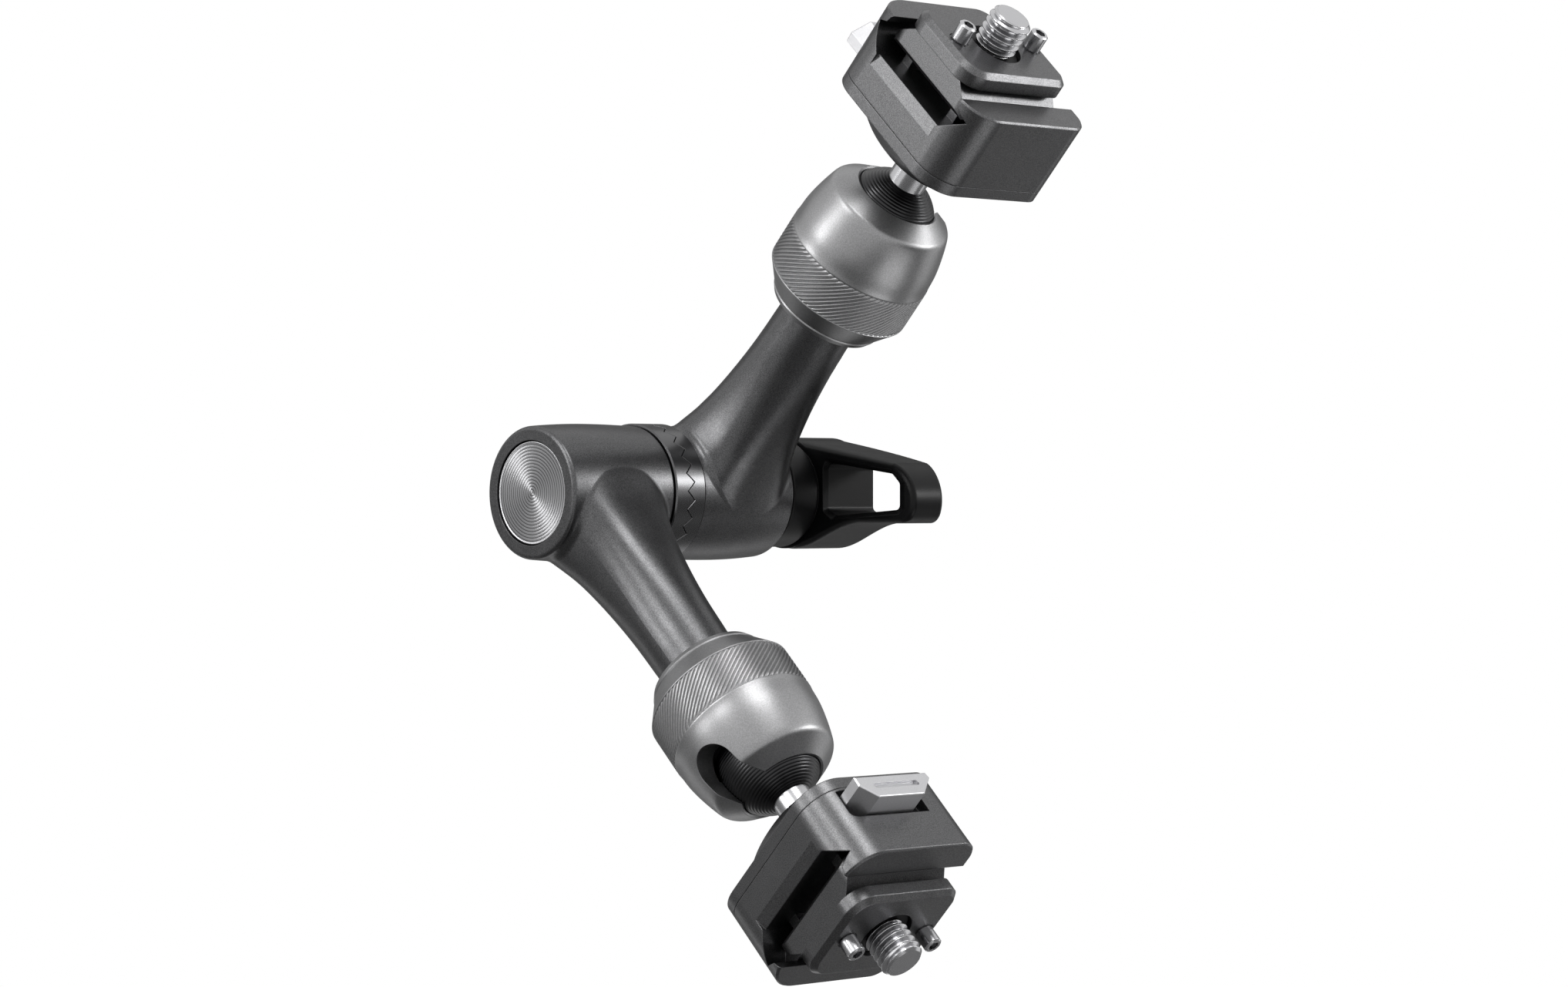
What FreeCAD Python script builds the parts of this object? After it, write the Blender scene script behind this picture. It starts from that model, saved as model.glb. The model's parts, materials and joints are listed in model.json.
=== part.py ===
import FreeCAD, Part
import math
import os
from FreeCAD import Vector as V

os.makedirs("parts", exist_ok=True)

# Articulating friction arm. Each arm is built upright in its own frame: x is the hub axis, z runs from
# the hub axis out to the clamp, y is square to both. Sizes in mm, angles in degrees.

# Pose of the two arms about the hub axis, measured from +Z. They differ by a whole number of teeth.
upper_arm_angle = 43.6
teeth_between_arms = 6

# Clearances
fit = 0.05
grip = 0.02
free = 0.3
seam = 0.12

# Hub
hub_radius = 15.55
hub_crown_drop = 0.65
hub_waist_drop = 0.35
lower_hub_length = 34.1
upper_hub_length = 33.0
hub_edge_round = 0.9
arm_offset = 19.0
rosette_radius = 15.8
rosette_half_width = 4.45
rosette_wall = 5.4
rosette_lip = 1.3
rosette_groove = 0.45
rosette_edge = 0.35
tooth_count = 24
tooth_height = 2.1
tooth_gap = 0.16

# Hub hardware
bolt_radius = 3.95
bolt_head_flats = 13.0
bolt_head_height = 5.6
bolt_end_room = 3.4
bush_radius = 7.0
bush_half_length = 12.5
release_travel = 2.6
cap_radius = 11.65
cap_thickness = 1.3
cap_recess = 0.35
hub_spring_wire = 0.8
hub_spring_turns = 4
hub_spring_seat = 3.6
washer_radius = 9.6
washer_thickness = 1.9

# Lever
lever_gap = 0.2
flange_radius = 12.7
flange_length = 7.7
lever_neck = 0.9
barrel_radius = 13.1
barrel_length = 16.6
lever_reach = 43.0
lever_tip_width = 9.3
lever_round = 1.2
window_round = 1.2
nut_flats = 14.0
nut_length = 16.0
nut_flange_radius = 9.0
nut_flange = 2.0

# Arm tube
tube_radius = 9.0
tube_swell = 0.3
tube_bore = 5.6
tube_end = 71.0
tube_chamfer = 0.8
flare_blend = 2.2
flare_face_gap = 0.7
flare_end_gap = 0.6
flare_side_gap = 0.75

# Locking collar
collar_rear = 56.4
nut_rim = 1.9
nut_rim_radius = 13.45
collar_radius = 17.1
cone_length = 5.3
knurl_length = 10.2
knurl_depth = 0.35
knurl_edge = 0.3
collar_wall = 4.65
spigot_length = 7.6
notch_half_width = 5.1
lip_radius = 9.5

# Ball, stem and their seat
ball_centre = 84.0
ball_radius = 11.3
ball_fit = 0.07
stem_radius = 4.4
stem_reach = 15.7
stem_pin_radius = 4.0
stem_spigot_radius = 3.5
stem_spigot_length = 17.6
cup_length = 7.1
cup_washer_height = 1.0
stem_screw_radius = 1.65
stem_screw_length = 10.2
stem_screw_head = 5.2
stem_screw_height = 2.3

# Clamp
clamp_half_width = 20.9
clamp_half_depth = 17.6
clamp_front_round = 8.0
clamp_back_round = 4.5
boss_height = 7.5
cover_thickness = 2.7
floor_thickness = 8.9
floor_half = 12.1
groove_depth = 5.6
groove_rise = 5.3
lip_rise = 1.7
lip_height = 1.95
lip_half = 14.6
mouth_half = 13.9
edge_chamfer = 0.4
front_bevel = 2.8
cover_screw_radius = 1.25
cover_screw_head = 2.2
cover_screw_length = 6.0
cover_screw_inset = 4.3

# Quick-release plate
plate_lift = 3.3
plate_foot_half = 14.9
plate_foot_rise = 1.1
plate_foot_edge = 0.6
plate_flank_rise = 5.1
plate_neck_half = 8.6
plate_half_width = 12.0
plate_thickness = 4.1
plate_front = 15.6
plate_back = 15.0
plate_step = 1.1
plate_front_round = 5.5
plate_back_round = 3.5
plate_bevel = 1.2

# Mounting screw and locating pins
screw_radius = 4.7625
screw_height = 7.7
screw_head_radius = 6.8
screw_head_height = 2.9
screw_groove = 0.75
clip_radius = 6.1
clip_thickness = 0.7
clip_depth = 1.9
pin_radius = 2.0
pin_shank_radius = 1.75
pin_neck = 0.25
pin_height = 4.2
pin_depth = 4.8
pin_spacing = 22.4
pin_socket = 2.2

# Latch
latch_half_length = 10.7
latch_offset = -1.4
latch_height = 5.7
latch_rise = 1.9
latch_out = 5.3
latch_pocket = 2.5
latch_travel = 1.8
latch_slope = 3.6
tongue_half = 4.5
tongue_thickness = 1.2
post_thickness = 2.35
latch_spring_wire = 0.28
latch_spring_length = 4.7
latch_spring_turns = 5

# Levels and seats that follow from the sizes above
lower_arm_angle = upper_arm_angle + teeth_between_arms * 360.0 / tooth_count
rosette_bore = rosette_radius - rosette_wall
seat_radius = rosette_radius - rosette_lip
arm_face = rosette_half_width + rosette_groove
spring_floor = rosette_half_width + hub_spring_seat
bush_bore_end = bush_half_length + release_travel + 2 * free
cap_floor = lower_hub_length - cap_thickness - cap_recess
bolt_seat = cap_floor - bolt_head_height - 2 * free
lever_face = upper_hub_length + washer_thickness + lever_gap
nut_end = lever_face + nut_flange + nut_length
barrel_start = lever_face + flange_length + lever_neck
barrel_end = barrel_start + barrel_length
bolt_end = nut_end
tube_start = collar_rear - 0.5
collar_seam = collar_rear + nut_rim
knurl_start = collar_seam + cone_length
knurl_end = knurl_start + knurl_length
spigot_end = collar_seam + spigot_length
collar_bore = ball_radius + 0.5
counterbore = collar_radius - collar_wall
seat_sphere = ball_radius + ball_fit
lip_level = ball_centre + math.sqrt(seat_sphere ** 2 - lip_radius ** 2)
collar_front = lip_level + 0.35
cup_start = tube_end + cup_washer_height + 0.1
stem_shoulder = ball_centre + stem_reach
stem_foot = ball_centre + math.sqrt(ball_radius ** 2 - stem_radius ** 2) - free
boss_bottom = stem_shoulder + 2 * fit
cover_bottom = boss_bottom + boss_height
cover_top = cover_bottom + cover_thickness
stem_top = cover_top - 0.6 * stem_screw_height
body_bottom = cover_top + seam
floor_level = body_bottom + floor_thickness
groove_half = floor_half + groove_depth
groove_level = floor_level + groove_rise
lip_underside = groove_level + lip_rise
jaw_top = lip_underside + lip_height
plate_bottom = floor_level + plate_lift
foot_level = plate_bottom + plate_foot_rise + plate_foot_edge
neck_level = foot_level + plate_flank_rise
plate_top = neck_level + plate_thickness
clip_floor = plate_top - clip_depth
head_top = neck_level - 1.1 * screw_head_height
tongue_level = body_bottom + latch_rise + 0.2
spring_radius = 1.6
pocket_floor = clamp_half_width - latch_pocket
foot_inner = stem_screw_head + 1.4


def cyl_z(radius, z0, z1, x=0.0, y=0.0):
    return Part.makeCylinder(radius, z1 - z0, V(x, y, z0), V(0, 0, 1))


def cyl_x(radius, x0, x1):
    return Part.makeCylinder(radius, x1 - x0, V(x0, 0, 0), V(1, 0, 0))


def box(x0, x1, y0, y1, z0, z1):
    return Part.makeBox(x1 - x0, y1 - y0, z1 - z0, V(x0, y0, z0))


def prism(points, vector):
    wire = Part.makePolygon([V(*p) for p in points] + [V(*points[0])])
    return Part.Face(wire).extrude(V(*vector))


def line(a, b):
    return Part.LineSegment(V(*a), V(*b)).toShape()


def smooth(points):
    curve = Part.BSplineCurve()
    curve.interpolate([V(*p) for p in points])
    return curve.toShape()


def turned_z(profile):
    """Solid of revolution about the arm axis from (radius, height) pairs"""
    wire = Part.makePolygon([V(r, 0, z) for r, z in profile] + [V(profile[0][0], 0, profile[0][1])])
    return Part.Face(wire).revolve(V(0, 0, 0), V(0, 0, 1), 360)


def turned_x(profile):
    """Solid of revolution about the hub axis from (x, radius) pairs"""
    wire = Part.makePolygon([V(x, r, 0) for x, r in profile] + [V(profile[0][0], profile[0][1], 0)])
    return Part.Face(wire).revolve(V(0, 0, 0), V(1, 0, 0), 360)


def hex_points(flats):
    corner = flats / math.sqrt(3)
    angles = [math.radians(60 * k) for k in range(6)]
    return [(corner * math.cos(a), corner * math.sin(a)) for a in angles]


def hex_prism_x(flats, x0, x1):
    return prism([(x0, a, b) for a, b in hex_points(flats)], (x1 - x0, 0, 0))


def hex_prism_z(flats, z0, z1, x=0.0):
    return prism([(x + a, b, z0) for a, b in hex_points(flats)], (0, 0, z1 - z0))


def mirrored(shape, side):
    """The lower arm is the mirror image of the upper one"""
    if side > 0:
        return shape
    return shape.mirror(V(0, 0, 0), V(1, 0, 0))


def corner_arc(centre, radius, start, z):
    q = math.radians(start)
    points = []
    for k in range(3):
        a = q + math.radians(45 * k)
        points.append(V(centre[0] + radius * math.cos(a), centre[1] + radius * math.sin(a), z))
    return Part.Arc(*points).toShape(), points[0], points[2]


def rounded_slab(x0, x1, y0, y1, z0, z1, rounds):
    """Plate with rounded vertical corners, in the order (x1,y1), (x0,y1), (x0,y0), (x1,y0)"""
    signs = [(x1, y1, -1, -1, 0), (x0, y1, 1, -1, 90), (x0, y0, 1, 1, 180), (x1, y0, -1, 1, 270)]
    arcs = []
    for (cx, cy, sx, sy, start), r in zip(signs, rounds):
        arcs.append(corner_arc((cx + sx * r, cy + sy * r), r, start, z0))
    edges = []
    for k in range(4):
        edges.append(arcs[k][0])
        a, b = arcs[k][2], arcs[(k + 1) % 4][1]
        edges.append(Part.LineSegment(a, b).toShape())
    return Part.Face(Part.Wire(edges)).extrude(V(0, 0, z1 - z0))


def oval_wire(half_x, half_y, power, x, z, count=32):
    """Closed smooth section that runs from a circle (power 2) towards a rounded rectangle"""
    points = []
    for k in range(count):
        a = 2 * math.pi * (k + 0.5) / count
        c, s = math.cos(a), math.sin(a)
        px = half_x * math.copysign(abs(c) ** (2 / power), c)
        py = half_y * math.copysign(abs(s) ** (2 / power), s)
        points.append(V(x + px, py, z))
    curve = Part.BSplineCurve()
    curve.interpolate(points, PeriodicFlag=True)
    return Part.Wire([curve.toShape()])


def coil(radius, wire_radius, length, turns):
    """Open coil spring of a given overall length, standing on z = 0"""
    rise = length - 2 * wire_radius
    helix = Part.makeHelix(rise / turns, rise, radius)
    ring = Part.makeCircle(wire_radius, V(radius, 0, 0), V(0, 1, 0))
    solid = Part.Wire(helix).makePipeShell([Part.Wire([ring])], True, True)
    return solid.translated(V(0, 0, wire_radius))


def fillet_where(shape, radius, test):
    return shape.makeFillet(radius, [e for e in shape.Edges if test(e)])


# Hub and arms

def hub_barrel(length):
    """Crowned barrel of one arm, from its rosette face to its outer end"""
    r = hub_edge_round
    straight_end = length - r
    rows = []
    for k in range(9):
        x = arm_face + (straight_end - arm_face) * k / 8
        drop = hub_crown_drop * max(0.0, (x - arm_offset) / (length - arm_offset)) ** 2
        drop += hub_waist_drop * max(0.0, (arm_offset - x) / (arm_offset - arm_face)) ** 2
        rows.append((x, hub_radius - drop, 0))
    edge = rows[-1][1]
    middle = (straight_end + r * math.sin(math.pi / 4), edge - r + r * math.cos(math.pi / 4), 0)
    end = (length, edge - r, 0)
    edges = [
        line((arm_face, 0, 0), rows[0]),
        smooth(rows),
        Part.Arc(V(*rows[-1]), V(*middle), V(*end)).toShape(),
        line(end, (length, 0, 0)),
        line((length, 0, 0), (arm_face, 0, 0)),
    ]
    return Part.Face(Part.Wire(edges)).revolve(V(0, 0, 0), V(1, 0, 0), 360)


def flare_root(length):
    """Half width of the flare along the hub axis: it stays between the two faces of the barrel"""
    return min(arm_offset - arm_face - flare_face_gap, length - arm_offset - flare_end_gap)


def arm_flare(root):
    """Neck that grows out of the barrel as a rounded rectangle and fades into the round tube"""
    flare_rows = [
        (2.0, 4.3, 5.8, 3.4),
        (5.5, 4.4, 5.3, 3.4),
        (8.5, 4.4, 4.4, 3.4),
        (11.5, 4.25, 3.3, 3.3),
        (15.0, 3.55, 2.35, 3.2),
        (18.5, 2.65, 1.7, 3.0),
        (23.0, 1.75, 1.15, 2.8),
        (29.0, 1.0, 0.75, 2.5),
        (37.0, 0.5, 0.45, 2.15),
    ]
    tube_rows = [
        (43.5, tube_swell, tube_swell, 2.0),
        (50.0, 0.4 * tube_swell, 0.4 * tube_swell, 2.0),
        (tube_start, -grip, -grip, 2.0),
        (tube_start + 1.5, -grip, -grip, 2.0),
    ]
    wider_x = (root - tube_radius) / max(row[1] for row in flare_rows)
    wider_y = (hub_radius - flare_side_gap - tube_radius) / max(row[2] for row in flare_rows)
    rows = [(z, more_x * wider_x, more_y * wider_y, power) for z, more_x, more_y, power in flare_rows]
    wires = []
    for z, more_x, more_y, power in rows + tube_rows:
        wires.append(oval_wire(tube_radius + more_x, tube_radius + more_y, power, arm_offset, z))
    return Part.makeLoft(wires, True, False)


def arm_tube():
    c = tube_chamfer
    profile = [(0, tube_start), (tube_radius, tube_start), (tube_radius, tube_end - c)]
    profile += [(tube_radius - c, tube_end), (0, tube_end)]
    return turned_z(profile).translated(V(arm_offset, 0, 0))


def arm_blank(length):
    """Arm with the bores both arms share: bush, spring pocket and the hollow of the tube"""
    root = flare_root(length)
    body = hub_barrel(length).fuse(arm_flare(root))
    room = length - arm_offset - tube_radius - 0.8 * (root - tube_radius)
    blend = min(flare_blend, 1.6 * room)
    top = hub_radius + 1
    body = fillet_where(body, blend, lambda e: e.BoundBox.ZMin > 0 and e.BoundBox.ZMax < top
                        and e.Length > 2 * hub_radius)
    body = body.fuse(arm_tube())
    body = body.fuse(cyl_x(seat_radius, rosette_half_width, arm_face + 1))
    body = body.cut(cyl_x(bush_radius + fit, 0, bush_bore_end))
    body = body.cut(cyl_x(rosette_bore, 0, spring_floor))
    return body.cut(cyl_z(tube_bore, arm_offset, tube_end + 1, arm_offset))


def lower_arm():
    body = arm_blank(lower_hub_length)
    body = body.cut(cyl_x(cap_radius + seam, cap_floor, lower_hub_length + 1))
    body = body.cut(hex_prism_x(bolt_head_flats + 2 * fit, bolt_seat, lower_hub_length))
    body = body.cut(cyl_x(bolt_radius + fit, 0, lower_hub_length))
    return mirrored(body, -1)


def upper_arm():
    return arm_blank(upper_hub_length).cut(cyl_x(bolt_radius + free, 0, upper_hub_length + 1))


def tooth_gullies(lean):
    """Tetrahedra with their tips on the hub centre; each clears the gap between two teeth"""
    half = math.pi / tooth_count
    reach = rosette_radius * 1.14
    over = 1.3
    high = lean * (2 * over - 1)
    side_y = 1 + over * (math.cos(half) - 1)
    side_z = over * math.sin(half)
    tip = V(0, 0, 0)
    root = V(-lean * reach, reach, 0)
    left = V(high * reach, side_y * reach, side_z * reach)
    right = V(high * reach, side_y * reach, -side_z * reach)
    gullies = []
    corners = [(root, right, left), (tip, root, left), (tip, right, root), (tip, left, right)]
    faces = [Part.Face(Part.makePolygon([a, b, c, a])) for a, b, c in corners]
    wedge = Part.makeSolid(Part.makeShell(faces))
    for k in range(tooth_count):
        turned = wedge.copy()
        turned.rotate(V(0, 0, 0), V(1, 0, 0), math.degrees(2 * half * k))
        gullies.append(turned)
    return gullies


def toothed_ring(width):
    """Face-toothed ring: every tooth edge points at the hub centre, so two such rings mesh"""
    e = rosette_edge
    lean = tooth_height / 2 / rosette_radius
    profile = [(-width, rosette_bore), (-width, rosette_radius - e), (-width + e, rosette_radius)]
    profile += [(lean * rosette_radius, rosette_radius), (lean * rosette_bore, rosette_bore)]
    return turned_x(profile).cut(tooth_gullies(lean))


def lower_rosette():
    return toothed_ring(rosette_half_width)


def upper_rosette():
    ring = toothed_ring(rosette_half_width - tooth_gap).mirror(V(0, 0, 0), V(1, 0, 0))
    ring.rotate(V(0, 0, 0), V(1, 0, 0), 180.0 / tooth_count)
    return ring.translated(V(tooth_gap, 0, 0))


def hub_cap():
    """Turned disc with a dished face and a raised rim"""
    x0 = -cap_floor
    x1 = x0 - cap_thickness
    rim = cap_radius - 0.9
    profile = [(x0, 0), (x0, cap_radius), (x1 + 0.25, cap_radius), (x1, cap_radius - 0.25)]
    profile += [(x1, rim), (x1 + 0.18, rim - 0.3), (x1 + 0.02, 1.2), (x1 + 0.1, 0)]
    return turned_x(profile)


def hub_bolt():
    seat = -bolt_seat
    head = hex_prism_x(bolt_head_flats, seat - bolt_head_height, seat)
    crown = turned_x([
        (seat - bolt_head_height, 0),
        (seat - bolt_head_height, bolt_head_flats / 2),
        (seat - 0.5 * bolt_head_height, bolt_head_flats * 0.66),
        (seat + 1, bolt_head_flats * 0.66),
        (seat + 1, 0),
    ])
    tip = turned_x([
        (seat - 1, 0),
        (seat - 1, bolt_radius),
        (bolt_end - 0.8, bolt_radius),
        (bolt_end, bolt_radius - 0.8),
        (bolt_end, 0),
    ])
    return head.common(crown).fuse(tip)


def hub_spring():
    middle = (rosette_bore + bush_radius) / 2
    length = 2 * (spring_floor - fit)
    spring = coil(middle, hub_spring_wire, length, hub_spring_turns)
    spring.rotate(V(0, 0, 0), V(0, 1, 0), 90)
    return spring.translated(V(-length / 2, 0, 0))


def hub_bush():
    sleeve = cyl_x(bush_radius, -bush_half_length, bush_half_length)
    sleeve = sleeve.cut(cyl_x(bolt_radius + fit, -bush_half_length - 1, bush_half_length + 1))
    return fillet_where(sleeve, 0.4, lambda e: e.Length > 2 * math.pi * bush_radius - 0.1)


def thrust_washer():
    x0, x1 = upper_hub_length, upper_hub_length + washer_thickness
    ring = cyl_x(washer_radius, x0, x1).cut(cyl_x(bolt_radius + free, x0 - 1, x1 + 1))
    return fillet_where(ring, 0.4, lambda e: e.Length > 2 * math.pi * washer_radius - 0.1)


# Lever

def lever_side(x):
    """Side view of the loop in a plane across the hub axis; the root hugs the barrel"""
    r, tip = barrel_radius, lever_reach
    nose = [(0.84 * tip, 0.53 * r), (tip - 2.4, 3.9), (tip, -0.8), (tip - 1.0, -5.2), (tip - 4.2, -7.0)]
    root = [(0.58 * tip, -7.1), (0.43 * tip, -8.2), (0.29 * tip, -10.4)]
    root += [(0.14 * tip, 0.4 - r), (0, 0.1 - r)]
    nose = [(x, -v, z) for v, z in nose]
    root = [(x, -v, z) for v, z in root]
    top = (x, 0, r - 0.05)
    edges = [line(top, nose[0]), smooth(nose), line(nose[-1], root[0]), smooth(root), line(root[-1], top)]
    return Part.Face(Part.Wire(edges))


def lever_plan():
    """Plan view of the loop: flat towards the arm, thinning towards the tip on the far side"""
    x0, x1, tip = barrel_start, barrel_end, lever_reach + 1
    far = [(x1, -0.2 * tip, 0), (x1 - 0.6, -0.4 * tip, 0), (x0 + lever_tip_width, -tip, 0)]
    edges = [line((x0, 0, 0), (x1, 0, 0)), line((x1, 0, 0), far[0]), smooth(far)]
    edges += [line(far[-1], (x0, -tip, 0)), line((x0, -tip, 0), (x0, 0, 0))]
    return Part.Face(Part.Wire(edges))


def window_outlines():
    """Loop window and its wider mouth on the arm side, as (reach, height) pairs"""
    root, tip = barrel_radius + 0.4, lever_reach
    inner = [(root, 5.6), (root + 1.1, 7.0), (tip - 8.4, 4.4), (tip - 6, 2.2)]
    inner += [(tip - 6, -3.2), (tip - 6.7, -3.9), (root + 3, -5.3), (root, -4.0)]
    outer = [(root - 0.2, 6.1), (root + 0.8, 8.0), (tip - 7.0, 5.3), (tip - 2.9, 2.5)]
    outer += [(tip - 2.9, -3.6), (tip - 4.4, -4.9), (root + 2.6, -6.3), (root - 0.2, -4.4)]
    return inner, outer


def lever_loop():
    """Loop cut from its side view and its tapering plan view, with broken edges"""
    side = lever_side(barrel_start).extrude(V(barrel_length, 0, 0))
    plan = lever_plan().translated(V(0, 0, -2 * barrel_radius)).extrude(V(0, 0, 4 * barrel_radius))
    loop = side.common(plan)
    near = barrel_start + 0.01
    loop = fillet_where(loop, lever_round, lambda e: e.BoundBox.XMax < near and e.BoundBox.YLength > 3)
    return fillet_where(loop, lever_round, lambda e: e.BoundBox.XMin > near and e.BoundBox.YLength > 3)


def lever_handle():
    x0 = barrel_start
    body = cyl_x(barrel_radius, x0, barrel_end)
    body = fillet_where(body, lever_round, lambda e: e.BoundBox.XMin > barrel_end - 0.1)
    body = body.fuse(lever_loop())
    inner, outer = window_outlines()
    window = prism([(x0 - 1, -v, z) for v, z in inner], (barrel_length + 2, 0, 0))
    body = body.cut(fillet_where(window, window_round, lambda e: e.BoundBox.XLength > barrel_length))
    mouth = []
    for x, outline in ((x0 - 0.05, outer), (x0 + 1.6, inner)):
        points = [V(x, -v, z) for v, z in outline]
        mouth.append(Part.makePolygon(points + [points[0]]))
    mouth = Part.makeLoft(mouth, True, True)
    body = body.cut(fillet_where(mouth, window_round, lambda e: e.BoundBox.XLength > 1.5))
    flange = cyl_x(flange_radius, lever_face, lever_face + flange_length)
    flange = fillet_where(flange, 0.5, lambda e: e.Length > 2 * math.pi * flange_radius - 0.1)
    body = body.fuse(flange).fuse(cyl_x(flange_radius - 0.8, lever_face + 1, x0 + 1))
    body = body.cut(cyl_x(nut_flange_radius + fit, lever_face - 1, lever_face + nut_flange))
    body = body.cut(hex_prism_x(nut_flats + 2 * fit, lever_face, nut_end + fit))
    return body.cut(cyl_x(bolt_radius + free, lever_face, nut_end + bolt_end_room))


def lever_nut():
    body = cyl_x(nut_flange_radius, lever_face, lever_face + nut_flange)
    body = body.fuse(hex_prism_x(nut_flats, lever_face + nut_flange / 2, nut_end))
    return body.cut(cyl_x(bolt_radius + fit, lever_face - 1, nut_end + 1))


# Locking collar, shared by both ends; its notch faces away from the middle of the hub

def collar_sleeve(side):
    z = collar_seam
    r = collar_radius
    front = [
        (r, 0, knurl_end + knurl_edge),
        (r - 0.1, 0, knurl_end + 0.9),
        (r - 0.25, 0, knurl_end + 3.2),
        (r - 1.0, 0, ball_centre - 2.2),
        (r - 2.15, 0, ball_centre + 2.2),
        (r - 2.6, 0, ball_centre + 3.3),
        (r - 3.3, 0, ball_centre + 4.0),
    ]
    half = math.atan2(lip_radius, lip_level - ball_centre) / 2 + math.pi / 4
    seat = V(seat_sphere * math.sin(half), 0, ball_centre + seat_sphere * math.cos(half))
    shoulder = r - 3.35
    corners = [
        (shoulder - 0.35, 0, z),
        (shoulder, 0, z + 0.4),
        (r - 0.3, 0, knurl_start - 0.35),
        (r, 0, knurl_start + 0.1),
        (r, 0, knurl_start + knurl_edge),
        (r - knurl_depth, 0, knurl_start + 2 * knurl_edge),
        (r - knurl_depth, 0, knurl_end - knurl_edge),
        (r, 0, knurl_end),
        (r, 0, knurl_end + knurl_edge),
    ]
    inner = [
        (seat_sphere, 0, ball_centre),
        (collar_bore, 0, ball_centre),
        (collar_bore, 0, spigot_end),
        (counterbore, 0, spigot_end),
        (counterbore, 0, z),
        (shoulder - 0.35, 0, z),
    ]
    edges = [line(a, b) for a, b in zip(corners, corners[1:])]
    edges.append(smooth(front))
    edges.append(line(front[-1], (lip_radius + 0.5, 0, collar_front)))
    edges.append(line((lip_radius + 0.5, 0, collar_front), (lip_radius, 0, lip_level)))
    edges.append(Part.Arc(V(lip_radius, 0, lip_level), seat, V(seat_sphere, 0, ball_centre)).toShape())
    edges += [line(a, b) for a, b in zip(inner, inner[1:])]
    body = Part.Face(Part.Wire(edges)).revolve(V(0, 0, 0), V(0, 0, 1), 360)
    return body.cut(stem_notch(side))


def stem_notch(side):
    """Slot with a round end that lets the stem lie over sideways"""
    w = notch_half_width
    level = ball_centre + free
    slot = box(0, collar_radius + 2, -w, w, level, collar_front + 2)
    slot = slot.fuse(Part.makeCylinder(w, collar_radius + 2, V(0, 0, level), V(1, 0, 0)))
    return mirrored(slot, side)


def collar_nut():
    z = collar_rear
    r = nut_rim_radius
    inner = tube_radius + fit
    spigot = counterbore - fit
    profile = [(inner, z + 0.3), (inner + 0.3, z), (r - 1.35, z), (r - 0.7, z + 0.35)]
    profile += [(r, collar_seam - 0.4), (r - 0.1, collar_seam), (spigot, collar_seam)]
    profile += [(spigot, spigot_end - 0.1), (inner, spigot_end - 0.1)]
    return turned_z(profile)


def ball():
    body = Part.makeSphere(ball_radius, V(0, 0, ball_centre))
    body = body.cut(cyl_z(stem_radius + grip, stem_foot, ball_centre + 2 * ball_radius))
    return body.cut(cyl_z(stem_spigot_radius + grip, stem_foot - stem_spigot_length - free, stem_foot + 1))


def stem():
    """Stepped stud: spigot pressed into the ball, bright shank, pin that the clamp turns on"""
    body = cyl_z(stem_spigot_radius, stem_foot - stem_spigot_length, stem_foot + 1)
    body = body.fuse(cyl_z(stem_radius, stem_foot, stem_shoulder))
    body = body.fuse(cyl_z(stem_pin_radius, stem_foot, stem_top))
    return body.cut(cyl_z(stem_screw_radius + grip, stem_top - stem_screw_length - 0.5, stem_top + 1))


def stem_screw():
    top = stem_top + stem_screw_height
    body = cyl_z(stem_screw_head, stem_top, top)
    body = fillet_where(body, 0.5, lambda e: e.BoundBox.ZMin > top - 0.1)
    body = body.cut(hex_prism_z(3.0, top - 1.4, top + 1))
    return body.fuse(cyl_z(stem_screw_radius, stem_top - stem_screw_length, stem_top + 0.2))


def ball_cup():
    z1 = cup_start + cup_length
    outer = collar_bore - free
    inner = tube_bore + 0.4
    profile = [(inner, cup_start), (outer - 0.4, cup_start), (outer, cup_start + 0.4)]
    profile += [(outer, z1), (inner, z1)]
    return turned_z(profile).cut(Part.makeSphere(seat_sphere, V(0, 0, ball_centre)))


def cup_washer():
    """Cone spring between the tube end and the cup"""
    z0, z1 = tube_end + fit, tube_end + cup_washer_height
    inner, outer = tube_bore + 0.3, tube_radius - 0.1
    return turned_z([(inner, z1 - 0.4), (outer, z0), (outer, z0 + 0.4), (inner, z1)])


# Clamp

def clamp_slab(z0, z1):
    rounds = (clamp_back_round, clamp_front_round, clamp_front_round, clamp_back_round)
    d, w = clamp_half_depth, clamp_half_width
    return rounded_slab(-d, d, -w, w, z0, z1, rounds)


def cover_screw_places():
    a = clamp_half_depth - cover_screw_inset - 0.1
    b = clamp_half_width - cover_screw_inset
    return [(-a, -b), (a, -b), (a, b), (-a, b)]


def cover_boss():
    """Domed foot of the clamp that carries the stem"""
    rows = [
        (0.0, 7.2, 7.2, 2.0),
        (0.19, 10.2, 11.0, 2.3),
        (0.43, 12.6, 14.6, 2.6),
        (0.72, 14.2, 16.9, 2.85),
        (1.0, 15.0, 18.0, 3.0),
    ]
    wires = []
    for part, half_x, half_y, power in rows:
        z = boss_bottom + part * boss_height
        wires.append(oval_wire(half_x, half_y, power, 0, z))
    wires.append(oval_wire(15.0, 18.0, 3.0, 0, cover_bottom + 0.5))
    return Part.makeLoft(wires, True, False)


def clamp_cover():
    body = clamp_slab(cover_bottom, cover_top).fuse(cover_boss())
    body = body.cut(cyl_z(stem_pin_radius + fit, boss_bottom - 1, cover_top + 1))
    seat = stem_top - 0.2
    body = body.cut(cyl_z(stem_screw_head + free, seat, cover_top + 1))
    for x, y in cover_screw_places():
        hole = screw_shape(cover_screw_radius + 0.1, cover_screw_head + 0.1)
        body = body.cut(hole.translated(V(x, y, 0)))
    return body


def screw_shape(shank, head):
    """Countersunk screw that enters the cover from below"""
    z = cover_bottom
    sink = head - shank
    top = z + cover_screw_length
    profile = [(0, z), (head, z), (head, z + 0.2), (shank, z + 0.2 + sink), (shank, top), (0, top)]
    return turned_z(profile)


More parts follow.
